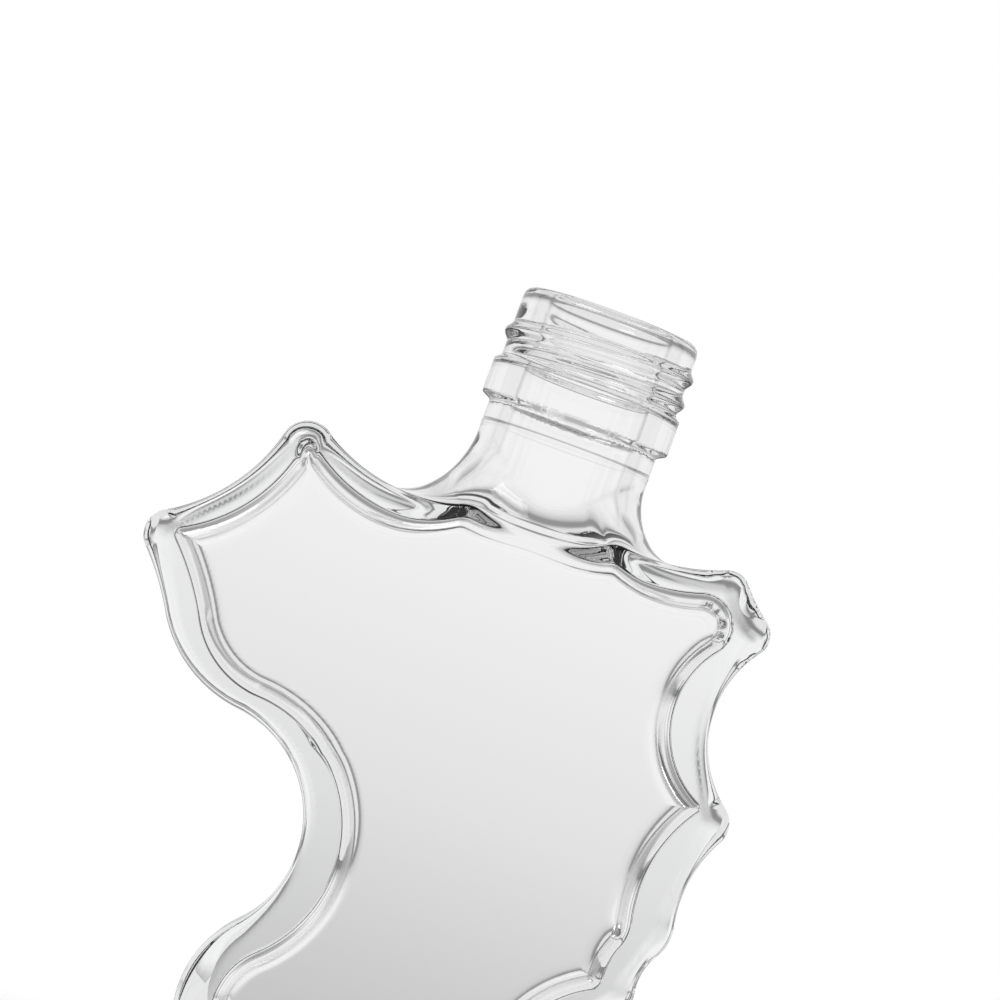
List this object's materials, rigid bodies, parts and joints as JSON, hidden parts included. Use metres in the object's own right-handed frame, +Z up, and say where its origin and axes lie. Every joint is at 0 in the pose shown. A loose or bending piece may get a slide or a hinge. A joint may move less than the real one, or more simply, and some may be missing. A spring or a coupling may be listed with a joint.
{
  "type": "flat fancy glass bottle",
  "caption": "Clear flat glass bottle with a scalloped, pointed outline, a flat panel front and back, and a short neck with a screw finish, open and empty.",
  "frame": {"origin": "on the base, on the axis of the neck", "axes": "+Z up along the neck's axis, +X along the flat body's width, -Y out of the front panel"},
  "size_m": [0.0906, 0.03, 0.1214],
  "materials": {
    "glass": "clear, fire-polished"
  },
  "bodies": {
    "root": {"bottle": "glass"}
  },
  "joints": []
}
